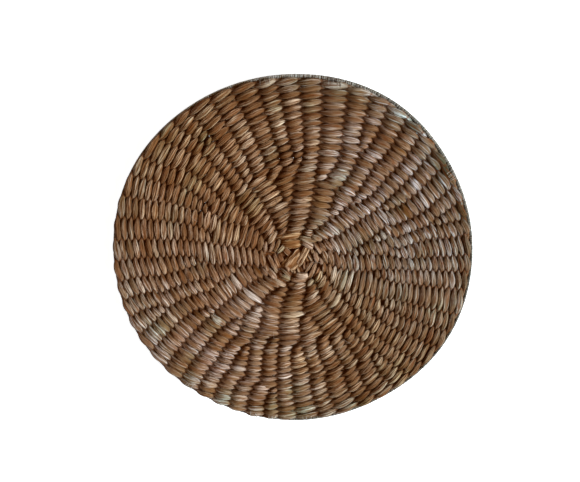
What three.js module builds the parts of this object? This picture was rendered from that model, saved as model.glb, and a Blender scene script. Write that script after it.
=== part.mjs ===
// Round woven placemat: a flat disc of twined leaf strands with a cord whipped round its edge.
// Millimetres, +Z up. The mat lies on z = 0, with the middle of its outline at the origin.

import * as THREE from "three";

// driving dimensions
const nominalRadius = 190;
const matThickness = 8.8;
const crownRise = 0.4;
const bindingWidth = 4.6;
const bindingHeight = 6.4;
const bindingFootWidth = 2.2;
const seamGap = 0.35;
const roundSteps = 96;
const bindingSides = 10;

// outer edge of the mat, read every 30 degrees anticlockwise from the right
const outline = [
  { bearing: 0, radius: 190.0 },
  { bearing: 30, radius: 189.5 },
  { bearing: 60, radius: 192.0 },
  { bearing: 90, radius: 189.5 },
  { bearing: 120, radius: 189.0 },
  { bearing: 150, radius: 190.5 },
  { bearing: 180, radius: 189.5 },
  { bearing: 210, radius: 189.7 },
  { bearing: 240, radius: 188.2 },
  { bearing: 270, radius: 190.0 },
  { bearing: 300, radius: 189.6 },
  { bearing: 330, radius: 191.9 },
];

// rounded edge of the disc, from its foot up to the flat of the weave
const discEdge = [
  { inset: 1.8, height: 0.0 },
  { inset: 0.5, height: 0.12 },
  { inset: 0.0, height: 0.3 },
  { inset: 0.0, height: 0.62 },
  { inset: 0.7, height: 0.84 },
  { inset: 2.2, height: 0.96 },
  { inset: 4.4, height: 1.0 },
];

// rings across the top, as shares of the disc's radius
const topRings = [0.88, 0.72, 0.54, 0.36, 0.18];

// low waves round the mat, highest at its rim
const waves = [
  { lobes: 3, rise: 0.35, turn: 0.6 },
  { lobes: 5, rise: 0.21, turn: 2.1 },
];

// smooth closed curve through the outline's radii
function outlineRadius(angle) {
  const count = outline.length;
  const place = THREE.MathUtils.euclideanModulo(angle / (2 * Math.PI), 1) * count;
  const row = Math.floor(place) % count;
  const t = place - Math.floor(place);
  const [before, from, to, after] = [-1, 0, 1, 2].map((step) => outline[(row + step + count) % count].radius);
  const startSlope = (to - before) / 2;
  const endSlope = (after - from) / 2;
  const smooth = t * t * (3 - 2 * t);
  const lead = t * (1 - t) * (1 - t);
  const tail = t * t * (t - 1);
  return from + (to - from) * smooth + startSlope * lead + endSlope * tail;
}

// how much thicker the mat is here than at its nominal thickness
function surfaceRise(angle, share) {
  let rise = crownRise * (1 - share);
  for (const wave of waves) {
    rise += share * wave.rise * Math.sin(wave.lobes * angle + wave.turn);
  }
  return rise;
}

// turns a profile into a round solid, then moves each point out or in to the mat's own outline
function turnedSolid(profile, steps) {
  const geometry = new THREE.LatheGeometry(profile, steps);
  geometry.rotateX(Math.PI / 2);
  const position = geometry.getAttribute("position");
  const point = new THREE.Vector3();
  const discRadius = nominalRadius - bindingWidth - seamGap;
  for (let i = 0; i < position.count; i++) {
    point.fromBufferAttribute(position, i);
    const radius = Math.hypot(point.x, point.y);
    const angle = Math.atan2(point.y, point.x);
    const share = Math.min(radius / discRadius, 1);
    const moved = radius + (outlineRadius(angle) - nominalRadius) * share;
    const height = point.z * (1 + surfaceRise(angle, share) / matThickness);
    position.setXYZ(i, moved * Math.cos(angle), moved * Math.sin(angle), height);
  }
  geometry.computeVertexNormals();
  return geometry;
}

function wovenDisc() {
  const discRadius = nominalRadius - bindingWidth - seamGap;
  const profile = [new THREE.Vector2(0, 0)];
  for (const step of discEdge) {
    profile.push(new THREE.Vector2(discRadius - step.inset, step.height * matThickness));
  }
  for (const share of topRings) {
    profile.push(new THREE.Vector2(discRadius * share, matThickness));
  }
  profile.push(new THREE.Vector2(0, matThickness));
  const leaf = new THREE.MeshStandardMaterial({ color: 0x7d5f43, roughness: 0.78, metalness: 0 });
  const mesh = new THREE.Mesh(turnedSolid(profile, roundSteps), leaf);
  mesh.name = "woven_disc";
  return mesh;
}

// an oval cord with a flat foot, closed on itself
function rimBinding() {
  const cordRadius = nominalRadius - bindingWidth / 2;
  const profile = [];
  for (let side = 0; side < bindingSides; side++) {
    const turn = ((side + 0.5) / bindingSides) * 2 * Math.PI - Math.PI / 2;
    const foot = side === 0 || side === bindingSides - 1;
    const across = foot ? Math.sign(Math.cos(turn)) * (bindingFootWidth / 2) : Math.cos(turn) * (bindingWidth / 2);
    const up = foot ? 0 : (bindingHeight / 2) * (1 + Math.sin(turn));
    profile.push(new THREE.Vector2(cordRadius + across, up));
  }
  profile.push(profile[0].clone());
  const cord = new THREE.MeshStandardMaterial({ color: 0x6b6653, roughness: 0.85, metalness: 0 });
  const mesh = new THREE.Mesh(turnedSolid(profile, roundSteps), cord);
  mesh.name = "rim_binding";
  return mesh;
}

const group = new THREE.Group();
group.add(wovenDisc());
group.add(rimBinding());

// the middle of the mat's own box goes over the origin
const box = new THREE.Box3().setFromObject(group, true);
const middle = box.getCenter(new THREE.Vector3());
group.position.set(-middle.x, -middle.y, -box.min.z);
group.updateMatrixWorld(true);

export default group;
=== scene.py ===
import math

import bpy
import numpy as np
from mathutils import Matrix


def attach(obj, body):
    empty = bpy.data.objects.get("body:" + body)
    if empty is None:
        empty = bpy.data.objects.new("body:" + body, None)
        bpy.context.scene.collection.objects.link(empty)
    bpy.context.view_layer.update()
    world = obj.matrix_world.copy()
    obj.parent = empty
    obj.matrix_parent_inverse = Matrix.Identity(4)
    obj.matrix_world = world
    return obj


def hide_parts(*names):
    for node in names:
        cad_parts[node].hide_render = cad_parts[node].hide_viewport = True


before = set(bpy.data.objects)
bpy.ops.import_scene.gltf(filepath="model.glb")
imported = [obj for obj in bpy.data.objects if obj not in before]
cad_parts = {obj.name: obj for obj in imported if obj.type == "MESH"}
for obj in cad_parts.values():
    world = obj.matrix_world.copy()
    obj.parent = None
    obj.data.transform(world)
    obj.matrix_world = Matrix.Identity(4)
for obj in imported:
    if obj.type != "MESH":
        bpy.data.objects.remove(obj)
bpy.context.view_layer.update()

# Round woven placemat: two twined leaf strands run in a spiral over radial spokes, and a cord is whipped
# round the edge. Metres, +Z up, bearings in degrees anticlockwise from +X about the start of the weave.

mm = 0.001
rng = np.random.default_rng(2311)

# how the whole weave is laid out
weave = {
    "hub": (2.4 * mm, -0.5 * mm),     # the weave starts a little off the middle of the outline
    "firstRadius": 12.4 * mm,         # middle of the first round
    "rounds": 26.7,                   # turns of the spiral
    "startTurn": 2.7,                 # the rounds inside this one are loose leaves laid round the knot
    "runOut": 40.0,                   # degrees over which the last round thins away
    "spread": 3.0,                    # the higher, the nearer the rim the rows open out for the run-out
    "waver": 0.275 * mm,              # slow drift of the rows in and out, in two waves
    "waverWaves": ((3, 0.9), (7, -0.6)),    # lobes of each wave, and how it shifts with each turn
    "halfWidth": 3.7 * mm,            # half width of a strand where it lies flat
    "middle": 5.2 * mm,               # height of the spokes
}

# binding that shows outside the last row, every 30 degrees: its width in mm, how pale its thread is, and
# the painted highlight that makes its outer side paler and its inner side darker, on the side facing the
# light
bindingShown = {
    "bearing": (0, 30, 60, 90, 120, 150, 180, 210, 240, 270, 300, 330),
    "width": (3.4, 4.3, 3.5, 3.6, 2.2, 1.2, 1.2, 1.2, 1.3, 2.2, 3.0, 3.5),
    "tone": (0.06, 0.20, 0.06, 0.68, 0.72, 0.35, 0.42, 0.30, 0.34, 0.46, 0.38, 0.14),
    "outerHighlight": (0.08, 0.24, 0.06, 0.10, 0.0, 0.0, 0.0, 0.0, 0.0, 0.0, 0.05, 0.08),
}

# Spoke columns come in eight families. Each family has its first edge in degrees at five radii in mm, the
# widths of its columns at the rim in degrees, and the radii in mm where the weaver put its columns in.
edgeRadii = (20, 50, 75, 98, 186)
columnFamilies = [
    {"edge": (-3, -12, -9.5, -6, -3.9), "rimWidth": (5.7, 7.3, 5.5, 5.9, 5.7, 7.8, 6.3),
     "begins": (0, 102, 63, 152, 88, 29, 103)},
    {"edge": (43, 30.5, 32.5, 32.7, 40.3), "rimWidth": (6.5, 6.7, 7.0, 6.3, 7.2, 8.4),
     "begins": (0, 88, 63, 131, 29, 88)},
    {"edge": (75, 74, 76, 77.5, 82.4), "rimWidth": (7.1, 6.8, 6.3, 7.6, 7.2, 7.4),
     "begins": (0, 102, 63, 88, 29, 95)},
    {"edge": (125, 119, 119.5, 122.3, 124.8), "rimWidth": (6.0, 6.2, 8.2, 6.5, 7.4, 7.2, 7.5),
     "begins": (149, 0, 88, 63, 103, 29, 88)},
    {"edge": (165, 165, 168.5, 168.7, 173.8), "rimWidth": (6.9, 7.0, 6.3, 6.0, 6.5, 7.0, 7.0),
     "begins": (0, 101, 63, 88, 149, 29, 103)},
    {"edge": (213, 207.5, 211, 213.3, 220.5), "rimWidth": (7.0, 6.8, 6.1, 6.1, 6.2, 6.5, 5.0),
     "begins": (0, 88, 63, 110, 29, 89, 147)},
    {"edge": (258, 253, 256, 258.8, 264.2), "rimWidth": (6.5, 7.8, 6.6, 8.0, 6.5, 7.5, 6.9),
     "begins": (0, 95, 63, 88, 29, 95, 138)},
    {"edge": (314, 302.7, 304, 306.3, 314), "rimWidth": (6.1, 7.4, 6.6, 6.7, 8.9, 6.4),
     "begins": (0, 88, 65, 102, 29, 88)},
]
newColumnWidth = 0.5                  # share of its full width that a new column begins with
newColumnGrowth = 24 * mm             # distance over which it comes to its full width

hubPoint = np.array([*weave["hub"], 0])


def smooth(x):
    x = np.clip(x, 0, 1)
    return x * x * (3 - 2 * x)


# level directions away from the hub, one row for each bearing
def outwardAt(bearing):
    angle = np.radians(bearing)
    return np.stack([np.cos(angle), np.sin(angle), np.zeros_like(angle)], -1)


# outline of the mat from the frame, as distances from the hub
def readOutline():
    points = np.array([corner.co[:2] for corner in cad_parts["rim_binding"].data.vertices])
    reach = np.hypot(points[:, 0], points[:, 1])
    sectors = 96
    turn = np.arctan2(points[:, 1], points[:, 0]) / (2 * math.pi)
    sector = np.round(turn * sectors).astype(int) % sectors
    outer = []
    for i in range(sectors):
        inSector = np.flatnonzero(sector == i)
        outer.append(points[inSector[np.argmax(reach[inSector])]])
    fromHub = np.array(outer) - np.array(weave["hub"])
    bearing = np.degrees(np.arctan2(fromHub[:, 1], fromHub[:, 0])) % 360
    return bearing, np.hypot(fromHub[:, 0], fromHub[:, 1])


outlineBearing, outlineReach = readOutline()


def edgeRadius(bearing):
    return np.interp(bearing, outlineBearing, outlineReach, period=360)


def shownBinding(bearing):
    return np.interp(bearing, bindingShown["bearing"], bindingShown["width"], period=360) * mm


# mean distance from the hub to the middle of the last row
everyDegree = np.arange(360)
meanReach = float(np.mean(edgeRadius(everyDegree) - shownBinding(everyDegree))) - weave["halfWidth"]


# radius of the spiral in an even mat, after so many turns
def plainRadius(turn):
    return weave["firstRadius"] + (meanReach - weave["firstRadius"]) * turn / weave["rounds"]


# bearings where one family's columns begin at that radius
def columnEdges(family, radius):
    row = columnFamilies[family]
    following = columnFamilies[(family + 1) % len(columnFamilies)]
    start = np.interp(radius / mm, edgeRadii, row["edge"])
    end = np.interp(radius / mm, edgeRadii, following["edge"])
    if end < start:
        end += 360
    widths = []
    for width, begins in zip(row["rimWidth"], row["begins"]):
        if radius >= begins * mm:
            grown = smooth((radius - begins * mm) / newColumnGrowth) if begins else 1
            widths.append(width * (newColumnWidth + (1 - newColumnWidth) * grown))
    shares = np.cumsum([0] + widths) / sum(widths)
    return start + (end - start) * shares[:-1]


# every place where the two strands cross each other, in order along the spiral
def layOutCrossings():
    families = len(columnFamilies)
    bearings = []
    for part in range(int((weave["rounds"] + 1) * families)):
        radius = plainRadius(part / families)
        edges = columnEdges(part % families, radius)
        bearings.extend(edges + 360 * (part // families))
    bearings = np.array(bearings)
    last = bearings[0] + 360 * weave["rounds"] + weave["runOut"]
    return bearings[bearings < last]


crossings = layOutCrossings()
crossingTurns = (crossings - crossings[0]) / 360
columnSpans = np.radians(np.diff(crossings))
columnCount = len(columnSpans)
endBearing = crossings[0] + 360 * weave["rounds"]
print("weave laid out:", columnCount, "crossings of the two strands")


# radius of the middle of the weft after so many turns, at that bearing
def roundRadius(turn, bearing):
    reach = edgeRadius(bearing) - shownBinding(bearing) - weave["halfWidth"]
    since = ((bearing - endBearing) % 360) / 360
    room = (1 - since) * smooth(since * 360 / weave["runOut"])
    share = np.minimum(turn / weave["rounds"], 1)
    share = np.minimum(share + room * share ** weave["spread"] / weave["rounds"], 1)
    radius = weave["firstRadius"] + (reach - weave["firstRadius"]) * share
    drift = sum(np.sin(np.radians(lobes * bearing) + shift * turn)
                for lobes, shift in weave["waverWaves"])
    return radius + weave["waver"] * drift * np.sin(np.pi * share)


# Sweeps a closed section along a run of points. across and up are the section's own shape, one row for
# each point. tone, tuck and tint are one for the whole tube, for each point or for each corner there.
# perBlock is how many of its spans share a block of the bake layout, and offset is where its grain begins.
def sweepTube(points, outward, across, up, tone=0.5, tuck=0.0, tint=(1, 1, 1), closed=False,
              perBlock=None, offset=0.0):
    if closed:
        ahead = np.roll(points, -1, axis=0) - np.roll(points, 1, axis=0)
    else:
        ahead = np.gradient(points, axis=0)
    ahead /= np.linalg.norm(ahead, axis=1, keepdims=True)
    side = outward - ahead * np.sum(outward * ahead, axis=1, keepdims=True)
    side /= np.linalg.norm(side, axis=1, keepdims=True)
    top = np.cross(side, ahead)
    ring = points[:, None, :] + side[:, None, :] * across[:, :, None] + top[:, None, :] * up[:, :, None]
    length = np.concatenate([[0], np.cumsum(np.linalg.norm(np.diff(points, axis=0), axis=1))])
    sides = across.shape[1]
    around = 2 * math.pi * np.arange(sides) / sides
    girth = 3 * mm                                    # radius of the circle that the grain is read round
    run = np.empty_like(ring)
    run[:, :, 0] = (length + offset)[:, None]
    run[:, :, 1] = np.cos(around) * girth
    run[:, :, 2] = np.sin(around) * girth
    spans = len(points) if closed else len(points) - 1
    values = []
    for value in (tone, tuck):
        value = np.asarray(value, float)
        if value.ndim == 1:
            value = value[:, None]
        values.append(np.broadcast_to(value, ring.shape[:2]))
    tint = np.asarray(tint, float)
    if tint.ndim == 2:
        tint = tint[:, None, :]
    return {"ring": ring, "closed": closed, "spans": spans, "perBlock": perBlock or spans, "leafRun": run,
            "tone": values[0], "tuck": values[1], "tint": np.broadcast_to(tint, ring.shape)}


# a section of so many sides, from round (squareness 1) to nearly flat-sided (0.5)
def roundedSection(sides, squareness):
    turn = 2 * math.pi * np.arange(sides) / sides
    across = np.sign(np.cos(turn)) * np.abs(np.cos(turn)) ** squareness
    up = np.sign(np.sin(turn)) * np.abs(np.sin(turn)) ** squareness
    return across, up


# Joins tubes into one mesh piece, with a bake layout that gives each stretch of tube a block of its own.
# made is its material, the CAD node that it replaces and a slot name that is not used. blockShape is a
# block's width over its height, and no corner goes below floorLevel.
def makePiece(name, tubes, made, blockShape=1.0, floorLevel=None):
    material, node, slotName = made
    blockCount = sum(tube["spans"] // tube["perBlock"] for tube in tubes)
    wide = max(1, round(math.sqrt(blockCount / blockShape)))
    high = math.ceil(blockCount / wide)
    edge, capAt, capSize = 0.07, 0.03, 0.018          # a block's margin, and a tube's end inside it
    corners, quads, quadUV, caps, capUV = [], [], [], [], []
    firstCorner, firstBlock = 0, 0
    for tube in tubes:
        rings, sides = tube["ring"].shape[:2]
        corners.append(tube["ring"].reshape(-1, 3))
        i, s = np.meshgrid(np.arange(tube["spans"]), np.arange(sides), indexing="ij")
        following, beside = (i + 1) % rings, (s + 1) % sides
        near, far = i * sides, following * sides
        quad = np.stack([near + s, far + s, far + beside, near + beside], -1)
        quads.append(quad.reshape(-1, 4) + firstCorner)
        block = firstBlock + i // tube["perBlock"]
        cell = np.stack([block % wide, block // wide], -1)[:, :, None, :]
        u = (i % tube["perBlock"])[:, :, None] + np.array([0, 1, 1, 0])
        v = s[:, :, None] + np.array([0, 0, 1, 1])
        inCell = np.stack([u / tube["perBlock"], v / sides], -1) * (1 - 2 * edge) + edge
        quadUV.append(((cell + inCell) / (wide, high)).reshape(-1, 2))
        blocks = tube["spans"] // tube["perBlock"]
        if not tube["closed"]:
            turn = 2 * math.pi * np.arange(sides) / sides
            circle = np.stack([np.cos(turn), np.sin(turn)], -1) * capSize
            farEnd = np.arange(sides)[::-1] + (rings - 1) * sides
            for cap, ownBlock, x in ((np.arange(sides), firstBlock, capAt),
                                     (farEnd, firstBlock + blocks - 1, 1 - capAt)):
                caps.append((cap + firstCorner).tolist())
                cell = np.array([ownBlock % wide, ownBlock // wide])
                capUV.append((cell + (x, 0.5) + circle) / (wide, high))
        firstCorner += rings * sides
        firstBlock += blocks
    corners = np.concatenate(corners)
    if floorLevel is not None:
        corners[:, 2] = np.maximum(corners[:, 2], floorLevel)
    quads = np.concatenate(quads)
    mesh = bpy.data.meshes.new(name)
    mesh.from_pydata(corners.tolist(), [], quads.tolist() + caps)
    bake = mesh.uv_layers.new(name="OFBake")
    bake.data.foreach_set("uv", np.concatenate(quadUV + capUV).ravel())
    isSide = np.zeros(len(mesh.polygons), bool)
    isSide[:len(quads)] = True
    mesh.polygons.foreach_set("use_smooth", isSide)
    for key in ("leafRun", "tone", "tuck", "tint"):
        kind, field = ("FLOAT_VECTOR", "vector") if key in ("leafRun", "tint") else ("FLOAT", "value")
        layer = mesh.attributes.new(key, kind, "POINT")
        layer.data.foreach_set(field, np.concatenate([tube[key].ravel() for tube in tubes]))
    mesh.materials.append(material)
    mesh.update()
    piece = bpy.data.objects.new(name, mesh)
    bpy.context.scene.collection.objects.link(piece)
    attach(piece, "root")
    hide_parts(node)
    return piece


def addNode(tree, kind, x, y, **settings):
    node = tree.nodes.new(kind)
    node.location = (x, y)
    for key, value in settings.items():
        setattr(node, key, value)
    return node


def newGroup(name, inputs, outputs):
    group = bpy.data.node_groups.new(name, "ShaderNodeTree")
    for label, kind, value in inputs:
        socket = group.interface.new_socket(name=label, in_out="INPUT", socket_type=kind)
        if value is not None:
            socket.default_value = value
    for label, kind in outputs:
        group.interface.new_socket(name=label, in_out="OUTPUT", socket_type=kind)
    entry = addNode(group, "NodeGroupInput", -900, 0)
    leave = addNode(group, "NodeGroupOutput", 900, 0)
    return group, entry, leave


# sets a number on a socket, and links anything else to it
def feed(tree, socket, value):
    if isinstance(value, (int, float)):
        socket.default_value = value
    else:
        tree.links.new(value, socket)


def mathNode(tree, x, y, operation, *values):
    node = addNode(tree, "ShaderNodeMath", x, y, operation=operation)
    for socket, value in zip(node.inputs, values):
        feed(tree, socket, value)
    return node.outputs[0]


def noiseNode(tree, x, y, vector, scale, detail, roughness=0.5):
    node = addNode(tree, "ShaderNodeTexNoise", x, y)
    inputs = {"Vector": vector, "Scale": scale, "Detail": detail, "Roughness": roughness}
    for label, value in inputs.items():
        feed(tree, node.inputs[label], value)
    return node.outputs["Fac"]


# what runs from low to high in value runs from first to last in the result
def rangeNode(tree, x, y, value, low=0.0, high=1.0, first=0.0, last=1.0, **settings):
    node = addNode(tree, "ShaderNodeMapRange", x, y, **settings)
    ends = {"Value": value, "From Min": low, "From Max": high, "To Min": first, "To Max": last}
    for label, end in ends.items():
        feed(tree, node.inputs[label], end)
    return node.outputs["Result"]


# grain of a strand: its noises are drawn out along it, and spread from their middle values over 0 to 1
grain = {
    "drawnOut": (0.06, 1, 1),
    "streakDetail": 2.5,
    "streakRoughness": 0.55,
    "streakRange": (0.38, 0.62),
    "fibreDetail": 3.0,
    "fibreRange": (0.36, 0.64),
    "creaseDetail": 1.0,
    "streakRelief": 0.2,              # height of the streaks and depth of the creases beside the fibres'
    "creaseRelief": -0.2,
}


# streaks, fine fibres and thin dark creases that follow a strand
def buildLeafFibre():
    group, entry, leave = newGroup(
        "leafFibre",
        [("Run", "NodeSocketVector", None), ("Streak Scale", "NodeSocketFloat", 420.0),
         ("Fibre Scale", "NodeSocketFloat", 1200.0), ("Crease Width", "NodeSocketFloat", 0.03)],
        [("Streak", "NodeSocketFloat"), ("Fibre", "NodeSocketFloat"), ("Crease", "NodeSocketFloat"),
         ("Height", "NodeSocketFloat")],
    )
    drawn = addNode(group, "ShaderNodeVectorMath", -680, 0, operation="MULTIPLY")
    drawn.inputs[1].default_value = grain["drawnOut"]
    group.links.new(entry.outputs["Run"], drawn.inputs[0])
    run, broad, fine = drawn.outputs[0], entry.outputs["Streak Scale"], entry.outputs["Fibre Scale"]
    streak = noiseNode(group, -460, 160, run, broad, grain["streakDetail"], grain["streakRoughness"])
    fibre = noiseNode(group, -460, -160, run, fine, grain["fibreDetail"])
    crease = noiseNode(group, -460, -480, run, broad, grain["creaseDetail"])
    streaks = rangeNode(group, -220, 160, streak, *grain["streakRange"])
    fineLines = rangeNode(group, -220, -120, fibre, *grain["fibreRange"])
    # a crease is a thin line where its noise goes through its middle value
    fromMiddle = mathNode(group, -220, -420, "SUBTRACT", crease, 0.5)
    distance = mathNode(group, -20, -420, "ABSOLUTE", fromMiddle)
    line = rangeNode(group, 180, -420, distance, high=entry.outputs["Crease Width"], first=1.0, last=0.0,
                     interpolation_type="SMOOTHSTEP")
    ridges = mathNode(group, 180, -60, "MULTIPLY_ADD", streaks, grain["streakRelief"], fineLines)
    height = mathNode(group, 420, -60, "MULTIPLY_ADD", line, grain["creaseRelief"], ridges)
    results = {"Streak": streaks, "Fibre": fineLines, "Crease": line, "Height": height}
    for label, value in results.items():
        group.links.new(value, leave.inputs[label])
    return group


# broad faded and soiled places over the whole mat
fading = {"scale": 26.0, "detail": 3.0, "range": (0.32, 0.68)}


def buildFading():
    group, entry, leave = newGroup(
        "leafFading",
        [("Scale", "NodeSocketFloat", fading["scale"])],
        [("Fade", "NodeSocketFloat")],
    )
    place = addNode(group, "ShaderNodeTexCoord", -680, 0)
    cloud = noiseNode(group, -460, 0, place.outputs["Object"], entry.outputs["Scale"], fading["detail"])
    group.links.new(rangeNode(group, -220, 0, cloud, *fading["range"]), leave.inputs["Fade"])
    return group


leafFibre = buildLeafFibre()
leafFading = buildFading()

# Colours of the leaf from dark to pale and the painted shade colour where it is tucked in and in its
# creases, its roughness on a streak and beside it, and how strongly its streaks, fibres and fading change
# its tone, then the same of the cord.
leafLook = {
    "dark": (0.094, 0.031, 0.004, 1),
    "middle": (0.192, 0.099, 0.047, 1),
    "pale": (0.560, 0.430, 0.335, 1),
    "tucked": (0.118, 0.030, 0.001, 1),
    "roughness": (0.55, 0.85),
    "streakScale": 460.0,
    "fibreScale": 950.0,
    "creaseWidth": 0.055,
    "creaseDepth": 0.75,
    "bump": 0.9,
    "mottle": {"Streak": 0.13, "Fibre": 0.50, "Fade": 0.14},
}
cordLook = {
    "dark": (0.095, 0.078, 0.058, 1),
    "middle": (0.225, 0.185, 0.145, 1),
    "pale": (0.480, 0.430, 0.365, 1),
    "tucked": (0.030, 0.018, 0.008, 1),
    "roughness": (0.60, 0.90),
    "streakScale": 900.0,
    "fibreScale": 3800.0,
    "creaseWidth": 0.030,
    "creaseDepth": 0.4,
    "bump": 0.4,
    "mottle": {"Streak": 0.30, "Fibre": 0.20, "Fade": 0.10},
}
reliefDepth = 1.1 * mm
specularLevel = 0.12


# a Mix node's mask is its input 0, its two colours are inputs 6 and 7, and the mixed one is output 2
def mixColours(tree, x, mask, first, second):
    node = addNode(tree, "ShaderNodeMix", x, 300, data_type="RGBA")
    tree.links.new(mask, node.inputs[0])
    tree.links.new(first, node.inputs[6])
    node.inputs[7].default_value = second
    return node.outputs[2]


def makeLeafMaterial(name, look):
    material = bpy.data.materials.new(name)
    material.use_nodes = True
    tree = material.node_tree
    link = tree.links.new
    shader = tree.nodes["Principled BSDF"]
    attributes = {}
    for i, key in enumerate(("leafRun", "tone", "tuck", "tint")):
        attributes[key] = addNode(tree, "ShaderNodeAttribute", -1700, 400 - 200 * i, attribute_name=key)
    fibre = addNode(tree, "ShaderNodeGroup", -1450, 300, node_tree=leafFibre)
    fibre.inputs["Streak Scale"].default_value = look["streakScale"]
    fibre.inputs["Fibre Scale"].default_value = look["fibreScale"]
    fibre.inputs["Crease Width"].default_value = look["creaseWidth"]
    link(attributes["leafRun"].outputs["Vector"], fibre.inputs["Run"])
    faded = addNode(tree, "ShaderNodeGroup", -1450, 0, node_tree=leafFading)
    masks = {socket.name: socket for socket in (*fibre.outputs, *faded.outputs)}
    # tone of this strand, moved up and down by its streaks, its fibres and the fading
    value = attributes["tone"].outputs["Fac"]
    for i, (key, amount) in enumerate(look["mottle"].items()):
        centred = mathNode(tree, -1220, 300 - 180 * i, "SUBTRACT", masks[key], 0.5)
        value = mathNode(tree, -1040, 300 - 180 * i, "MULTIPLY_ADD", centred, amount, value)
    ramp = addNode(tree, "ShaderNodeValToRGB", -820, 300)
    ramp.color_ramp.elements[0].color = look["dark"]
    ramp.color_ramp.elements[1].color = look["pale"]
    ramp.color_ramp.elements.new(0.5).color = look["middle"]
    link(value, ramp.inputs["Fac"])
    tinted = addNode(tree, "ShaderNodeVectorMath", -520, 300, operation="MULTIPLY")
    link(ramp.outputs["Color"], tinted.inputs[0])
    link(attributes["tint"].outputs["Vector"], tinted.inputs[1])
    # painted shade: the crease lines and then the tuck mask mix the colour towards the tucked shade colour
    creaseShade = mathNode(tree, -520, 80, "MULTIPLY", masks["Crease"], look["creaseDepth"])
    colour = mixColours(tree, -320, creaseShade, tinted.outputs[0], look["tucked"])
    colour = mixColours(tree, -140, attributes["tuck"].outputs["Fac"], colour, look["tucked"])
    link(colour, shader.inputs["Base Color"])
    onStreak, besideStreak = look["roughness"]
    roughness = rangeNode(tree, -320, -120, masks["Streak"], first=besideStreak, last=onStreak)
    link(roughness, shader.inputs["Roughness"])
    bump = addNode(tree, "ShaderNodeBump", -320, -400)
    bump.inputs["Strength"].default_value = look["bump"]
    bump.inputs["Distance"].default_value = reliefDepth
    link(masks["Height"], bump.inputs["Height"])
    link(bump.outputs["Normal"], shader.inputs["Normal"])
    shader.inputs["Specular IOR Level"].default_value = specularLevel
    return material


leafMaterial = makeLeafMaterial("dryLeaf", leafLook)
cordMaterial = makeLeafMaterial("rimCord", cordLook)
print("materials made")

# what a piece is made of: its material, the CAD node that it replaces and its slot
leafStrand = (leafMaterial, "woven_disc", "leaf_strand")
edgeCord = (cordMaterial, "rim_binding", "edge_cord")
grainStart = (0, 40)                  # where along its grain a tube may begin, in metres

# what a tint does to the leaf's red, green and blue
leafTints = {
    "green": (0.84, 1.07, 1.02),
    "gold": (1.07, 0.94, 0.66),
    "grey": (0.95, 1.06, 1.28),
    "rust": (1.05, 0.87, 0.78),
    "pale": (1.26, 1.29, 1.33),
    "dark": (0.50, 0.58, 0.52),
}
# how often a leaf has each tint; the rest are plain
leafKinds = {"green": 0.20, "gold": 0.15, "grey": 0.16, "rust": 0.10, "pale": 0.08, "dark": 0.04}

# places where the leaf is another colour: distance from the hub and width of the place in mm
accentColumns = ("bearing", "radius", "spread", "tint", "amount")
leafAccents = [
    (125, 158, 9, "green", 0.9),
    (208, 163, 12, "green", 1.0),
    (224, 160, 8, "green", 0.8),
    (97, 160, 8, "green", 0.8),
    (85, 158, 7, "green", 0.7),
    (310, 33, 7, "green", 1.0),
    (35, 55, 7, "green", 0.6),
    (262, 172, 11, "green", 1.0),
    (272, 176, 12, "green", 1.0),
    (268, 152, 9, "green", 0.8),
    (69, 68, 14, "gold", 0.9),
    (71, 177, 10, "gold", 0.7),
    (238, 180, 8, "gold", 0.9),
    (249, 180, 8, "gold", 0.8),
    (274, 120, 14, "gold", 0.6),
    (268, 52, 14, "gold", 0.8),
    (122, 152, 8, "rust", 0.6),
    (264, 181, 7, "rust", 0.6),
    (350, 163, 8, "rust", 0.6),
    (47, 120, 8, "pale", 0.3),
    (33, 120, 7, "pale", 0.3),
    (38, 62, 10, "pale", 0.6),
    (300, 48, 6, "pale", 0.8),
    (3, 55, 9, "pale", 0.7),
    (0, 0, 40, "gold", 0.7),
    # painted shade: a dark strip along the last row next to the cord, between 18 and 50 degrees
    (34, 184, 14, "dark", 1.6),
    (18, 186, 12, "dark", 1.3),
    (50, 187, 12, "dark", 1.3),
    (30, 170, 28, "grey", 0.5),
    (8, 172, 24, "grey", 0.4),
    (0, 78, 24, "pale", 0.5),
    (30, 82, 20, "pale", 0.4),
    (90, 78, 26, "pale", 0.45),
    (312, 78, 30, "pale", 0.35),
    (212, 114, 18, "pale", 0.4),
    (225, 78, 20, "dark", 0.22),
    (198, 155, 26, "dark", 0.3),
]

# slow change of colour round the mat, every 45 degrees; it is partly the leaf's own colour and partly
# painted sheen and shade, as its pale amounts make the mat paler at 45 and 225 degrees and darker at 135
# and 315
sideColourAndSheen = {
    "fullRadius": 80 * mm,            # distance from the hub where it comes to its full strength
    "bearing": (0, 45, 90, 135, 180, 225, 270, 315),
    "grey": (1.15, 1.25, 0.15, -0.15, 0.25, 0.55, 0.25, 0.0),
    "green": (0.45, 0.15, 0.05, 0.0, 0.0, 0.0, 0.10, 0.30),
    "gold": (0.0, 0.0, 0.35, 0.70, 0.20, 0.05, 0.15, 0.60),
    "pale": (-0.30, 1.35, -0.20, -0.75, -0.30, 1.45, 0.65, -1.35),
}
# the last rows are greyer
lastRows = {"begin": 164 * mm, "over": 14 * mm, "grey": 0.40, "green": 0.25}


# multiplies together the tints in these amounts, one row for each point
def tintColour(amounts):
    size = np.broadcast(*amounts.values()).shape if amounts else ()
    colour = np.ones((*size, 3))
    for key, amount in amounts.items():
        colour *= 1 + np.asarray(amount)[..., None] * (np.array(leafTints[key]) - 1)
    return colour


# how much of a tint the accents above give at these places
def accentAt(tint, bearing, radius):
    total = np.zeros_like(bearing)
    for row in (dict(zip(accentColumns, values)) for values in leafAccents):
        if row["tint"] == tint:
            away = np.radians((bearing - row["bearing"] + 180) % 360 - 180) * radius
            distance = np.hypot(away, radius - row["radius"] * mm) / (row["spread"] * mm)
            total = np.maximum(total, row["amount"] * np.exp(-distance ** 2))
    return total


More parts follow.
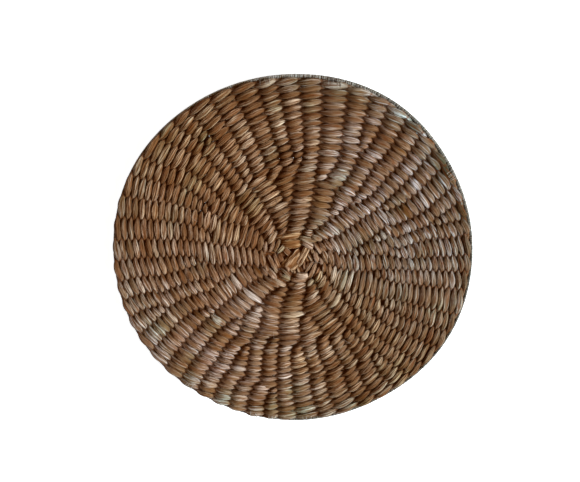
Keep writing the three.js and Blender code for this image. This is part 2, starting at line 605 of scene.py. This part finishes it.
# random patches: the waves that make them up, how strong they are, and the level that a tint starts from
patches = {
    "tone": {"waves": 7, "shortest": 30 * mm, "longest": 90 * mm, "strength": 0.06},
    "green": {"waves": 7, "shortest": 24 * mm, "longest": 70 * mm, "strength": 0.5, "level": 0.5},
    "gold": {"waves": 7, "shortest": 24 * mm, "longest": 70 * mm, "strength": 0.3, "level": 0.4},
}


# smooth random field over the mat, about -1 to 1
def patchField(row):
    turn = rng.uniform(0, 2 * math.pi, row["waves"])
    phase = rng.uniform(0, 2 * math.pi, row["waves"])
    rate = 2 * math.pi / rng.uniform(row["shortest"], row["longest"], row["waves"])

    def field(x, y):
        total = np.zeros_like(x)
        for i in range(row["waves"]):
            total += np.sin(rate[i] * (x * math.cos(turn[i]) + y * math.sin(turn[i])) + phase[i])
        return total / math.sqrt(row["waves"])
    return field


patchFields = {key: patchField(row) for key, row in patches.items()}

# the pair of weft strands
weft = {
    "halfThick": 1.65 * mm,           # over a spoke, where a strand is flat and wide
    "crossHalfWidth": 1.6 * mm,       # on edge where the two strands cross
    "crossHalfThick": 1.5 * mm,
    "swing": 1.65 * mm,               # how far each strand moves in and out as they twine
    "rise": 3.7 * mm,                 # how far each strand moves up and down
    "bluntness": 0.95,                # below 1 the strand keeps its width nearer the crossing
    "overlap": 0.28,                  # share of the rise that the strands still have where they cross
    "shortColumn": 13 * mm,           # in columns narrower than this the strands are squeezed thin
    "mostSqueezed": 0.72,             # share of its width that a strand keeps in the narrowest ones
    "thinnest": 0.25,                 # share of its size that it has at the two ends of the spiral
    "growsOver": 25.0,                # degrees over which it comes to its full size at the start
    "stepsPerColumn": 12,
    "sides": 16,
    "squareness": 0.86,               # 1 is a round section, 0.5 a nearly flat-sided one
    "tone": 0.48,
    "grainShift": (31.7, 0.37),       # from strand to strand and from column to column
    "pieceStagger": 0.31,             # share of a turn, so that the pieces don't all begin at one bearing
    "fewestColumns": 12,              # a last piece shorter than this joins the one before
}
weaveTop = weave["middle"] + weft["rise"] + weft["halfThick"]


# how much leaves differ, as the spread of what is drawn about a middle value or as the ends of a range
leafVariety = {
    "columns": (4, 13),               # how many columns a leaf lasts for
    "tone": 0.085,
    "columnTone": 0.06,
    "width": 0.06,
    "widthEnds": (-0.14, 0.10),
    "columnWidth": 0.035,
    "folds": (3, 4, 5),               # corners of the section where a crease may lie
    "foldDepth": (0.15, 0.55),        # as shares of the leaf's thickness
    "foldShown": (0.5, 1.2),
    "foldRelief": 0.10,               # how much of a crease is shape; all of it is painted shade
    "foldEase": 0.5,                  # below 1 it comes to its full depth nearer the ends
    "tint": (0.05, 0.28),
    "lift": 0.22 * mm,
    "lean": 9.0,                      # degrees
    "drift": 0.28 * mm,
}


# A leaf lasts for some columns, then the next one is laid in. Tone, width, creases and tint go with the
# leaf, and each of its columns also has its own lift, lean and drift.
def layLeaves(count):
    sides = weft["sides"]
    columns = {"tone": np.empty(count), "width": np.empty(count), "ridges": np.ones((count, sides))}
    for kind in leafKinds:
        columns[kind] = np.zeros(count)
    kinds = [*leafKinds, "plain"]
    chances = [*leafKinds.values(), 1 - sum(leafKinds.values())]
    start = 0
    while start < count:
        stop = start + int(rng.integers(*leafVariety["columns"]))
        columns["tone"][start:stop] = rng.normal(0, leafVariety["tone"])
        wider = np.clip(rng.normal(0, leafVariety["width"]), *leafVariety["widthEnds"])
        columns["width"][start:stop] = 1 + wider
        for fold in rng.choice(leafVariety["folds"], 2, replace=False):
            columns["ridges"][start:stop, [fold, sides - fold]] -= rng.uniform(*leafVariety["foldDepth"])
        kind, amount = rng.choice(kinds, p=chances), rng.uniform(*leafVariety["tint"])
        if kind != "plain":
            columns[kind][start:stop] = amount
        start = stop
    columns["tone"] += rng.normal(0, leafVariety["columnTone"], count)
    columns["width"] += rng.normal(0, leafVariety["columnWidth"], count)
    columns["ridges"] = 1 - (1 - columns["ridges"]) * rng.uniform(*leafVariety["foldShown"], (count, 1))
    for key in ("lift", "lean", "drift"):
        columns[key] = rng.normal(0, leafVariety[key], count)
    return columns


# share of a strand's thickness that its creases leave, where flat goes from 0 at its ends to 1
def creased(flat, ridges):
    return 1 - leafVariety["foldRelief"] * (1 - ridges) * flat[:, None] ** leafVariety["foldEase"]


# soiling and painted shade where a strand goes down between its neighbours, on its sides and in its creases
tuckDirtAndShade = {
    "reach": 0.14,                    # value of flat where it begins
    "flanks": 0.5,                    # how little painted shade a strand's sides get, from 0 to 1
    "hardness": 1.2,
    "depth": 0.7,
    "creaseDepth": 0.8,
    "most": 0.95,
}


# painted shade, with some soiling: darker where the strand goes under, on its sides and in its folds
def tuckDirtAndShadeOf(flat, sectionUp, ridges):
    shown = smooth(flat / tuckDirtAndShade["reach"])[:, None]
    shown = shown * (tuckDirtAndShade["flanks"] + (1 - tuckDirtAndShade["flanks"]) * np.abs(sectionUp))
    dirtAndShade = (1 - shown) ** tuckDirtAndShade["hardness"] * tuckDirtAndShade["depth"] + (1 - ridges) * tuckDirtAndShade["creaseDepth"]
    return np.clip(dirtAndShade, 0, tuckDirtAndShade["most"])


# a stretch of one strand, from the crossing before one column to the crossing after another
def weftTube(strand, first, last, leaves):
    steps, sides = weft["stepsPerColumn"], weft["sides"]
    place = np.linspace(first, last, (last - first) * steps + 1)
    bearing = np.interp(place, np.arange(len(crossings)), crossings)
    turn = (bearing - crossings[0]) / 360

    def along(values):
        return np.interp(place - 0.5, np.arange(len(values)), values)

    phase = math.pi * (place - 0.5 + strand)
    over = np.cos(phase)
    flat = np.abs(over)
    least = weft["thinnest"]
    thin = 1 - (1 - least) * smooth((turn - weave["rounds"]) * 360 / weave["runOut"])
    thin = thin * (least + (1 - least) * smooth((turn - weave["startTurn"]) * 360 / weft["growsOver"]))
    columnLength = columnSpans * plainRadius(crossingTurns[1:])
    narrow = thin * along(np.clip(columnLength / weft["shortColumn"], weft["mostSqueezed"], 1))
    radius = roundRadius(turn, bearing)
    # a strand runs straight over its column, so the first rounds have corners
    column = np.minimum(place.astype(int), columnCount - 1)
    span = columnSpans[column]
    radius *= np.sqrt(np.cos(span / 2)) / np.cos((place - column - 0.5) * span)
    radius += along(leaves["drift"]) * flat - weft["swing"] * np.sin(phase) * narrow
    outward = outwardAt(bearing)
    points = outward * radius[:, None] + hubPoint
    fromMiddle = np.abs(((place + strand) % 2) - 0.5)        # in columns, 0.5 at a crossing
    fromMiddle = np.minimum(fromMiddle, 2 - fromMiddle)
    onTop = 1 - (1 - weft["overlap"]) * (2 * fromMiddle) ** 2
    sunk = 2 * fromMiddle - 1
    beneath = weft["overlap"] - sunk - weft["overlap"] * sunk ** 2
    lifted = np.where(fromMiddle < 0.5, onTop, beneath)
    points[:, 2] = weave["middle"] + lifted * weft["rise"] + along(leaves["lift"]) * over
    outward[:, 2] = np.tan(np.radians(along(leaves["lean"]))) * flat
    widening = weave["halfWidth"] - weft["crossHalfWidth"]
    halfWidth = weft["crossHalfWidth"] + widening * flat ** weft["bluntness"]
    halfWidth = halfWidth * along(leaves["width"]) * narrow
    halfThick = weft["crossHalfThick"] + (weft["halfThick"] - weft["crossHalfThick"]) * flat
    halfThick = halfThick * thin
    sectionAcross, sectionUp = roundedSection(sides, weft["squareness"])
    across = halfWidth[:, None] * sectionAcross
    ridges = np.stack([along(leaves["ridges"][:, i]) for i in range(sides)], -1)
    up = halfThick[:, None] * sectionUp * creased(flat, ridges)
    x, y = points[:, 0], points[:, 1]
    bare = bearing % 360
    outer = smooth(radius / sideColourAndSheen["fullRadius"])
    tone = weft["tone"] + along(leaves["tone"]) + patches["tone"]["strength"] * patchFields["tone"](x, y)
    amounts = {}
    for key in leafTints:
        amounts[key] = along(leaves[key]) + accentAt(key, bare, radius)
        # partly painted sheen and shade, set by bearing
        if key in sideColourAndSheen:
            side = np.interp(bare, sideColourAndSheen["bearing"], sideColourAndSheen[key], period=360)
            amounts[key] += side * outer
        if key in lastRows:
            amounts[key] += lastRows[key] * smooth((radius - lastRows["begin"]) / lastRows["over"])
        if key in patches:
            above = np.maximum(patchFields[key](x, y) - patches[key]["level"], 0)
            amounts[key] += patches[key]["strength"] * above
    strandShift, columnShift = weft["grainShift"]
    return sweepTube(points, outward, across, up, tone=tone, tuck=tuckDirtAndShadeOf(flat, sectionUp, ridges),
                     tint=tintColour(amounts), perBlock=steps,
                     offset=strand * strandShift + first * columnShift)


def buildWeft():
    leaves = [layLeaves(columnCount + 2) for strand in (0, 1)]
    pieces = []
    first = int(np.searchsorted(crossingTurns, weave["startTurn"]))
    number = int(weave["startTurn"]) + 1
    while first < columnCount:
        stagger = weft["pieceStagger"] * (number % 3)
        last = min(int(np.searchsorted(crossingTurns, number + stagger)), columnCount)
        if columnCount - last < weft["fewestColumns"]:
            last = columnCount
        tubes = [weftTube(strand, first, last, leaves[strand]) for strand in (0, 1)]
        pieces.append(makePiece(f"weftRound{number:02d}", tubes, leafStrand, floorLevel=0))
        first = last
        number += 1
    print("weft twined:", len(pieces), "rounds")
    return pieces


# flat spokes that the strands go over and under
spokes = {
    "fill": 1.02,                     # share of a column's width
    "halfThick": 1.15 * mm,
    "squareness": 0.6,
    "pastWeft": 1.5 * mm,             # how far they go past the middle of the last row
    "tail": 7 * mm,                   # length tucked in before the column begins
    "hubTail": 20 * mm,               # the first spokes cross at the hub
    "newWidth": 0.85,                 # share of its width that a spoke put in later begins with
    "newOver": 12 * mm,
    # painted shade: the spokes are kept dark and their tuck darkens them further, as they show only in the
    # gaps between the strands
    "tone": (0.2, 0.08),              # its middle value and spread
    "tuck": 0.55,
    "steps": 24,
    "sides": 8,
}


# middle bearing and width of one column at that radius
def columnAt(family, column, radius):
    row = columnFamilies[family]
    edges = columnEdges(family, radius)
    following = columnEdges((family + 1) % len(columnFamilies), radius)[0]
    if following < edges[0]:
        following += 360
    begun = [i for i, begins in enumerate(row["begins"]) if radius >= begins * mm]
    spot = begun.index(column)
    bounds = [*edges, following]
    return (bounds[spot] + bounds[spot + 1]) / 2, bounds[spot + 1] - bounds[spot]


def buildSpokes():
    tubes = []
    sectionAcross, sectionUp = roundedSection(spokes["sides"], spokes["squareness"])
    for family, row in enumerate(columnFamilies):
        for column, begins in enumerate(row["begins"]):
            start = max(begins * mm, weave["firstRadius"])
            radii = np.linspace(start, meanReach + spokes["pastWeft"], spokes["steps"] + 1)
            middle, width = np.array([columnAt(family, column, radius) for radius in radii]).T
            halfWidth = np.radians(width) * radii * spokes["fill"] / 2
            if begins:
                grown = smooth((radii - start) / spokes["newOver"])
                halfWidth *= spokes["newWidth"] + (1 - spokes["newWidth"]) * grown
            radii = radii * edgeRadius(middle) / np.mean(outlineReach)
            radii[0] -= spokes["tail"] if begins else spokes["hubTail"]
            points = outwardAt(middle) * radii[:, None] + hubPoint
            points[:, 2] = weave["middle"]
            across = halfWidth[:, None] * sectionAcross
            up = np.full_like(radii, spokes["halfThick"])[:, None] * sectionUp
            offset, tone = rng.uniform(*grainStart), rng.normal(*spokes["tone"])
            tubes.append(sweepTube(points, outwardAt(middle + 90), across, up, offset=offset, tone=tone,
                                   tuck=spokes["tuck"]))
    piece = makePiece("spokes", tubes, leafStrand, blockShape=5.0)
    print("spokes laid:", len(tubes))
    return piece


# Leaves of the hub: the first loose rounds and the knot where the spokes cross. Each runs from one point to
# another, and its width and the height of its top are in mm too. blunt is 2 for an arched leaf and more for
# one that is flat to its edges.
hubColumns = ("x1", "y1", "x2", "y2", "width", "top", "blunt", "tone", "tint", "amount")
hubLeaves = [
    (-13.5, -8.5, 2, 7, 9.5, 9.0, 6, 0.46, "gold", 0.6),
    (-18, 7, -12.5, -4, 5.6, 8.8, 2.6, 0.46, "rust", 0.5),
    (-22, 6.5, -17.5, -9, 5.0, 9.0, 2.6, 0.50, "rust", 0.4),
    (-29.5, 5, -19.5, -14.5, 5.0, 9.3, 2.6, 0.58, "grey", 0.2),
    (-25, -1, -19.5, -15.5, 2.6, 9.2, 3, 0.60, "green", 0.3),
    (-27.5, 8, -22.5, 22, 4.6, 9.0, 2.6, 0.48, "grey", 0.3),
    (-23, 7.5, -16.5, 22, 4.2, 9.3, 2.6, 0.54, "green", 0.4),
    (-20, 7, -10.5, 17, 4.8, 9.3, 2.6, 0.60, "green", 0.8),
    (-12, 13.5, -3.5, 4.5, 6.2, 8.6, 3, 0.50, "rust", 0.4),
    (-22, 24, -6, 28.5, 5.4, 9.2, 2.6, 0.48, "gold", 0.4),
    (-12, 30, 5, 30, 5.2, 9.4, 2.6, 0.46, "gold", 0.5),
    (-17, 22.5, 5.5, 26.5, 8.2, 9.9, 2.6, 0.57, "gold", 0.6),
    (-15, 17, 6, 17, 10.4, 10.2, 2.6, 0.56, "gold", 0.7),
    (8, 29, 22, 24, 5.0, 9.4, 2.6, 0.50, "rust", 0.2),
    (3, 24, 22.5, 20, 6.0, 9.6, 3, 0.58, "green", 0.5),
    (24, 21.5, 31, 7, 4.6, 9.3, 2.6, 0.54, "grey", 0.3),
    (18.5, 19.5, 29.5, 3, 4.8, 9.5, 2.6, 0.66, "grey", 0.2),
    (5.5, 20.5, 18.5, 12.5, 7.0, 9.9, 3.5, 0.70, "grey", 0.6),
    (16, 13, 20, 3, 4.2, 8.6, 2.6, 0.44, "green", 0.3),
    (19.5, 10, 24.5, -4, 5.8, 9.6, 2.6, 0.58, "grey", 0.3),
    (25.5, 4, 28, -10, 4.4, 9.3, 2.6, 0.54, "grey", 0.4),
    (12, 8.5, 17.5, -2.5, 3.6, 8.9, 2.6, 0.54, "green", 0.2),
    (9, 6.5, 14, -3, 3.0, 8.4, 2.6, 0.50, "gold", 0.2),
    (8, 0, 9.5, -13, 3.2, 8.4, 2.6, 0.52, "rust", 0.3),
    (15, -2, 9, -12, 3.0, 8.7, 2.6, 0.54, "gold", 0.2),
    (19, -0.5, 9.5, -15.5, 3.6, 9.2, 2.6, 0.60, "grey", 0.1),
    (22, -3, 14, -21.5, 5.2, 9.5, 2.6, 0.57, "gold", 0.1),
    (26.5, -6, 19.5, -22, 4.4, 9.2, 2.6, 0.44, "rust", 0.3),
    (-6, -22, 14, -22, 6.2, 9.3, 2.6, 0.52, "rust", 0.4),
    (-2, -16.5, 14, -17.5, 7.6, 9.9, 3, 0.66, "grey", 0.3),
    (-10, -27.5, 6, -27, 5.0, 9.2, 2.6, 0.46, "gold", 0.3),
    (-33, -4, -27, -16, 5.0, 9.3, 2.6, 0.56, "grey", 0.2),
    (-18.5, -14, -9, -22, 3.4, 8.6, 2.6, 0.42, "rust", 0.4),
    (-17.5, -17.5, -6, -23.5, 5.6, 9.1, 2.6, 0.56, "green", 0.7),
    (-15.5, -10.5, -5.5, -20.5, 3.0, 9.3, 2.6, 0.64, "green", 0.4),
    (-30.5, -9, -21, -22.5, 6.6, 9.7, 2.8, 0.60, "grey", 0.3),
    (-28, -20, -10, -29.5, 5.4, 9.8, 2.6, 0.70, "pale", 0.3),
    (1.5, -8, 5, -15.5, 2.8, 9.0, 3, 0.58, "gold", 0.3),
    (-2.5, -9, 1, -15.5, 2.8, 9.0, 3, 0.58, "gold", 0.3),
    (-6.5, -8.5, -3, -14.5, 2.8, 9.0, 3, 0.56, "gold", 0.3),
    (-12, -7, -6.5, -13, 4.8, 9.3, 3, 0.62, "rust", 0.5),
    (-8.5, -11.5, 7, 9, 13.5, 9.4, 7, 0.52, "gold", 0.3),
    (1.5, -7, 13, 15, 7.2, 10.0, 6, 0.76, "gold", 0.30),
]
hub = {
    "halfThick": 1.5 * mm,
    "endDrop": 3.6 * mm,              # how far the ends of a leaf go down under its neighbours
    "dropEase": 0.8,
    "leastWidth": 0.35,               # share of its width left at the ends
    "widthEase": 0.6,
    "leastThick": 0.7,                # share of its thickness left at the ends
    "bow": 0.5 * mm,                  # spread of its sideways bend
    "lean": 7.0,                      # spread of its lean, in degrees
    "ragged": 0.03,                   # spread of its width along it
    "roundness": 1.7,                 # its squareness is this over its bluntness
    "leastSquareness": 0.35,
    "plainBlunt": 2.6,                # a leaf blunter than this has shallower creases
    "steps": 16,
    "sides": 16,
    "gold": 0.45,                     # the leaves here are yellower than the rest
    "undersideTurn": 140.0,           # the underside has the same leaves, turned by so many degrees
}


# face is 1 for the top of the mat and -1 for its underside
def hubLeafTube(row, face):
    start, end = np.array([row["x1"], row["y1"]]) * mm, np.array([row["x2"], row["y2"]]) * mm
    share = np.linspace(-1, 1, hub["steps"] + 1)
    flat = 1 - np.abs(share) ** row["blunt"]
    ahead = (end - start) / 2
    sideways = np.array([ahead[1], -ahead[0]]) / np.linalg.norm(ahead)
    bow = rng.normal(0, hub["bow"]) * (1 - share ** 2)
    level = (start + end) / 2 + np.outer(share, ahead) + np.outer(bow, sideways)
    drop = hub["endDrop"] * (1 - flat ** hub["dropEase"])
    height = row["top"] * mm - hub["halfThick"] - drop - weave["middle"]
    turned = math.radians(0 if face > 0 else hub["undersideTurn"])
    toX, toY = (math.cos(turned), -math.sin(turned)), (math.sin(turned), math.cos(turned))
    points = np.column_stack([level @ toX, level @ toY, weave["middle"] + height * face]) + hubPoint
    lean = math.tan(math.radians(rng.normal(0, hub["lean"])))
    outward = np.tile((sideways @ toX, sideways @ toY, lean), (len(share), 1))
    squareness = max(hub["roundness"] / row["blunt"], hub["leastSquareness"])
    sectionAcross, sectionUp = roundedSection(hub["sides"], squareness)
    ridges = np.ones(hub["sides"])
    shallower = min(hub["plainBlunt"] / row["blunt"], 1)
    for fold in rng.choice(leafVariety["folds"], 2, replace=False):
        ridges[[fold, hub["sides"] - fold]] -= rng.uniform(*leafVariety["foldDepth"]) * shallower
    widthShare = hub["leastWidth"] + (1 - hub["leastWidth"]) * flat ** hub["widthEase"]
    halfWidth = row["width"] * mm / 2 * widthShare
    halfWidth *= 1 + rng.normal(0, hub["ragged"], len(share))
    across = halfWidth[:, None] * sectionAcross
    halfThick = hub["halfThick"] * (hub["leastThick"] + (1 - hub["leastThick"]) * flat)
    up = halfThick[:, None] * sectionUp * creased(flat, ridges)
    amounts = dict.fromkeys(leafTints, 0.0)
    amounts["gold"] = hub["gold"]
    amounts[row["tint"]] += row["amount"]
    return sweepTube(points, outward, across, up, tone=row["tone"], tuck=tuckDirtAndShadeOf(flat, sectionUp, ridges),
                     tint=tintColour(amounts), offset=rng.uniform(*grainStart))


def buildHub():
    pieces = []
    for name, face in (("hubLeavesTop", 1), ("hubLeavesUnder", -1)):
        tubes = [hubLeafTube(dict(zip(hubColumns, row)), face) for row in hubLeaves]
        pieces.append(makePiece(name, tubes, leafStrand, blockShape=2.5, floorLevel=0))
    print("hub laid:", len(hubLeaves), "leaves a side")
    return pieces


# cord round the edge
rim = {
    "halfHeight": 2.9 * mm,
    "leastHalfWidth": 1.2 * mm,
    "mostHalfWidth": 1.9 * mm,
    "lift": 0.4 * mm,                 # off the table, for the thread under it
    "squareness": 0.9,
    "tone": 0.5,
    "steps": 240,
    "sides": 12,
    "blocks": 24,                     # in the bake layout
}
cordMiddle = rim["halfHeight"] + rim["lift"]

# thread whipped over the cord, pressed flat on it
thread = {
    "stitches": 540,
    "radius": 0.36 * mm,
    "thickness": (0.8, 1.1),          # of a stitch, in radii; the next four are in its thickness
    "flatness": 0.35,
    "spread": 4.0,
    "offSide": 0.5,                   # how far its middle is off the side and the top of the cord
    "offTop": 0.2,
    "wander": 0.2,                    # how far a stitch may be from its place, in stitches
    "slant": 12.0,                    # lean along the edge; 45 puts a stitch's top half a stitch ahead
    "slantSpread": 12.0,
    "toneSpread": 0.08,
    "green": (0, 0.3),
    "grey": (0, 0.4),
    "steps": 12,
    "sides": 5,
}


# half width of the cord and its distance from the hub
def cordLine(bearing):
    halfWidth = np.clip(shownBinding(bearing) / 2, rim["leastHalfWidth"], rim["mostHalfWidth"])
    return halfWidth, edgeRadius(bearing) - halfWidth - 2 * thread["radius"]


def buildCord():
    bearing = np.arange(rim["steps"]) * 360 / rim["steps"]
    halfWidth, radius = cordLine(bearing)
    points = outwardAt(bearing) * radius[:, None] + hubPoint + (0, 0, cordMiddle)
    sectionAcross, sectionUp = roundedSection(rim["sides"], rim["squareness"])
    across = halfWidth[:, None] * sectionAcross
    up = np.tile(rim["halfHeight"] * sectionUp, (len(bearing), 1))
    core = sweepTube(points, outwardAt(bearing), across, up, closed=True, tone=rim["tone"],
                     perBlock=rim["steps"] // rim["blocks"])
    return makePiece("rimCord", [core], edgeCord, blockShape=2.5)


def buildStitches():
    tubes = []
    pitch = 360 / thread["stitches"]
    turn = 2 * math.pi * np.arange(thread["steps"]) / thread["steps"]
    threadAcross, threadUp = roundedSection(thread["sides"], 1.0)
    for i in range(thread["stitches"]):
        at = (i + rng.uniform(-thread["wander"], thread["wander"])) * pitch
        halfWidth, radius = cordLine(at)
        slant = math.tan(math.radians(thread["slant"] + rng.normal(0, thread["slantSpread"])))
        bearing = at + np.sin(turn) * 0.5 * slant * pitch
        thick = thread["radius"] * rng.uniform(*thread["thickness"])
        reach = radius + (halfWidth + thick * thread["offSide"]) * np.cos(turn)
        points = outwardAt(bearing) * reach[:, None] + hubPoint
        points[:, 2] = cordMiddle + (rim["halfHeight"] + thick * thread["offTop"]) * np.sin(turn)
        outward = outwardAt(bearing) * np.cos(turn)[:, None]
        outward[:, 2] = np.sin(turn)
        across = np.tile(thick * thread["flatness"] * threadAcross, (len(turn), 1))
        up = np.tile(thick * thread["spread"] * threadUp, (len(turn), 1))
        tone, outerHighlight = (np.interp(at, bindingShown["bearing"], bindingShown[key], period=360)
                        for key in ("tone", "outerHighlight"))
        # painted highlight and shade: the thread is paler on the cord's outer side and darker on its inner
        # side
        tone = tone + rng.normal(0, thread["toneSpread"]) + outerHighlight * np.cos(turn)
        tint = tintColour({key: rng.uniform(*thread[key]) for key in ("green", "grey")})
        tubes.append(sweepTube(points, outward, across, up, tone=tone, tint=tint, closed=True,
                               offset=rng.uniform(*grainStart)))
    print("rim whipped:", len(tubes), "stitches")
    return makePiece("rimStitches", tubes, edgeCord, blockShape=3.0, floorLevel=0)


# stitches that go from the cord over the highest part of the last row
longStitch = {
    "columnShare": 0.5,               # share of a column's width that a group of them takes up
    "wander": 0.1,                    # spread of where it is, in degrees
    "slant": 0.5,                     # spread of the degrees between its ends
    "reach": 1.6,                     # how far in from the binding, in half widths of a strand
    "foot": 4 * mm,                   # height where they begin
    "risen": 0.25,                    # share of its length where a stitch has come to the top of the weave
    "goesDown": 0.8,                  # share of its length where it goes down again
    "drop": 0.35,                     # share of its height that it loses there
    "thickness": (0.4, 0.7),          # in thread radii
    "toneSpread": 0.12,
}
# where a group of them is, how many there are, and how pale they are
longStitchColumns = ("bearing", "count", "tone")
longStitchGroups = [(78.5, 7, 0.62), (31, 5, 0.80), (98, 4, 0.50), (258, 3, 0.90), (264, 3, 1.0),
                    (272, 3, 0.95), (228, 3, 0.75)]


def longStitchTube(bearing, tone):
    share = np.linspace(0, 1, thread["steps"] + 1)
    outermost = edgeRadius(bearing) - thread["radius"]
    innermost = edgeRadius(bearing) - shownBinding(bearing) - longStitch["reach"] * weave["halfWidth"]
    reach = outermost + (innermost - outermost) * share
    down = smooth((share - longStitch["goesDown"]) / (1 - longStitch["goesDown"]))
    over = smooth(share / longStitch["risen"]) * (1 - longStitch["drop"] * down)
    points = outwardAt(bearing + share * rng.normal(0, longStitch["slant"])) * reach[:, None] + hubPoint
    points[:, 2] = longStitch["foot"] + (weaveTop - longStitch["foot"]) * over
    thick = thread["radius"] * rng.uniform(*longStitch["thickness"])
    threadAcross, threadUp = roundedSection(thread["sides"], 1.0)
    across = np.tile(thick * threadAcross, (len(share), 1))
    up = np.tile(thick * threadUp, (len(share), 1))
    return sweepTube(points, outwardAt(np.full(len(share), bearing + 90)), across, up,
                     offset=rng.uniform(*grainStart), tone=tone + rng.normal(0, longStitch["toneSpread"]))


def buildLongStitches():
    tubes = []
    middles = (crossings[:-1] + crossings[1:]) / 2
    lastRound = crossingTurns[1:] > weave["rounds"] - 1
    for row in (dict(zip(longStitchColumns, values)) for values in longStitchGroups):
        away = np.abs((middles[lastRound] - row["bearing"] + 180) % 360 - 180)
        column = np.flatnonzero(lastRound)[np.argmin(away)]
        width = math.degrees(columnSpans[column]) * longStitch["columnShare"]
        for i in range(row["count"]):
            bearing = middles[column] + width * ((i + 0.5) / row["count"] - 0.5)
            bearing += rng.normal(0, longStitch["wander"])
            tubes.append(longStitchTube(bearing, row["tone"]))
    print("long stitches:", len(tubes))
    return makePiece("longStitches", tubes, edgeCord, blockShape=5.0)


# loose fibres on the surface
strays = {
    "count": 46,
    "length": (5 * mm, 13 * mm),
    "radius": 0.14 * mm,
    "taper": 0.5,                     # share of the radius left at the end
    "place": (20 * mm, 182 * mm),     # from the hub
    "bend": 0.5,                      # spread of how far they turn, in radians
    "arch": (0.6 * mm, 2.0 * mm),
    "sunk": 0.7 * mm,                 # how far below the top of the weave they begin
    "tone": (0.5, 1.0),
    "steps": 8,
    "sides": 4,
}


def buildStrays():
    tubes = []
    threadAcross, threadUp = roundedSection(strays["sides"], 1.0)
    for i in range(strays["count"]):
        radius, bearing = rng.uniform(*strays["place"]), rng.uniform(0, 2 * math.pi)
        length, heading = rng.uniform(*strays["length"]), rng.uniform(0, 2 * math.pi)
        share = np.linspace(0, 1, strays["steps"] + 1)
        bend = heading + rng.normal(0, strays["bend"]) * share
        step = length / strays["steps"]
        x = radius * math.cos(bearing) + np.cumsum(np.cos(bend)) * step
        y = radius * math.sin(bearing) + np.cumsum(np.sin(bend)) * step
        arch = rng.uniform(*strays["arch"]) * np.sin(math.pi * share)
        points = np.stack([x, y, weaveTop - strays["sunk"] + arch], -1) + hubPoint
        outward = np.stack([-np.sin(bend), np.cos(bend), np.zeros_like(bend)], -1)
        thick = strays["radius"] * np.linspace(1.0, strays["taper"], len(share))
        tubes.append(sweepTube(points, outward, thick[:, None] * threadAcross, thick[:, None] * threadUp,
                               offset=rng.uniform(*grainStart), tone=rng.uniform(*strays["tone"])))
    print("stray fibres:", len(tubes))
    return makePiece("strayFibres", tubes, leafStrand, blockShape=6.0)


weftPieces = buildWeft()
spokePiece = buildSpokes()
hubPieces = buildHub()
rimPieces = [buildCord(), buildStitches(), buildLongStitches()]
strayPiece = buildStrays()

# camera, lights and floor
view = {
    "tilt": 16.0,                     # degrees off straight down
    "distance": 0.820,
    "lens": 48.0,
    "shift": (-0.0095, 0.0284),
}
lights = [
    {"name": "windowLight", "bearing": -12, "height": 24, "distance": 4.0, "size": 2.2, "power": 550,
     "colour": (0.85, 0.98, 1.08)},
    {"name": "farSideFill", "bearing": 150, "height": 55, "distance": 4.0, "size": 3.0, "power": 10,
     "colour": (1.0, 0.60, 0.30)},
]
room = {
    "skyStrength": 0.21,
    "skyColour": (1.0, 0.48, 0.13),
    "floor": (0.86, 0.85, 0.83, 1),
    "floorRoughness": 0.9,
    "floorGlow": (0.82, 0.90, 0.95, 1),    # the floor is a lit white table
    "floorGlowStrength": 1.0,
    "floorSize": 8.0,
    "floorDrop": 0.3 * mm,                 # below the mat
}


def layFloor():
    size = room["floorSize"] / 2
    corners = [(-size, -size, 0), (size, -size, 0), (size, size, 0), (-size, size, 0)]
    mesh = bpy.data.meshes.new("paleFloor")
    mesh.from_pydata(corners, [], [(0, 1, 2, 3)])
    floor = bpy.data.objects.new("paleFloor", mesh)
    floor.location.z = -room["floorDrop"]
    bpy.context.scene.collection.objects.link(floor)
    material = bpy.data.materials.new("paleFloor")
    material.use_nodes = True
    shader = material.node_tree.nodes["Principled BSDF"]
    shader.inputs["Base Color"].default_value = room["floor"]
    shader.inputs["Roughness"].default_value = room["floorRoughness"]
    shader.inputs["Emission Color"].default_value = room["floorGlow"]
    shader.inputs["Emission Strength"].default_value = room["floorGlowStrength"]
    mesh.materials.append(material)


def lightRoom():
    scene = bpy.context.scene
    for row in lights:
        data = bpy.data.lights.new(row["name"], "AREA")
        data.size = row["size"]
        data.energy = row["power"]
        data.color = row["colour"]
        light = bpy.data.objects.new(row["name"], data)
        bearing, height = math.radians(row["bearing"]), math.radians(row["height"])
        light.location = (row["distance"] * math.cos(bearing) * math.cos(height),
                          row["distance"] * math.sin(bearing) * math.cos(height),
                          row["distance"] * math.sin(height))
        light.rotation_euler = (-light.location).to_track_quat("-Z", "Y").to_euler()
        scene.collection.objects.link(light)
    world = bpy.data.worlds.new("softRoom")
    scene.world = world
    world.use_nodes = True
    background = world.node_tree.nodes["Background"]
    background.inputs["Color"].default_value = (*room["skyColour"], 1)
    background.inputs["Strength"].default_value = room["skyStrength"]
    scene.view_settings.view_transform = "Standard"


def placeCamera():
    scene = bpy.context.scene
    cameraData = bpy.data.cameras.new("aboveMat")
    cameraData.lens = view["lens"]
    cameraData.shift_x, cameraData.shift_y = view["shift"]
    camera = bpy.data.objects.new("aboveMat", cameraData)
    tilt = math.radians(view["tilt"])
    camera.location = (weave["hub"][0], weave["hub"][1] + view["distance"] * math.sin(tilt),
                       view["distance"] * math.cos(tilt))
    camera.rotation_euler = (-tilt, 0, 0)
    scene.collection.objects.link(camera)
    scene.camera = camera


layFloor()
lightRoom()
placeCamera()
print("floor, lights and camera set")
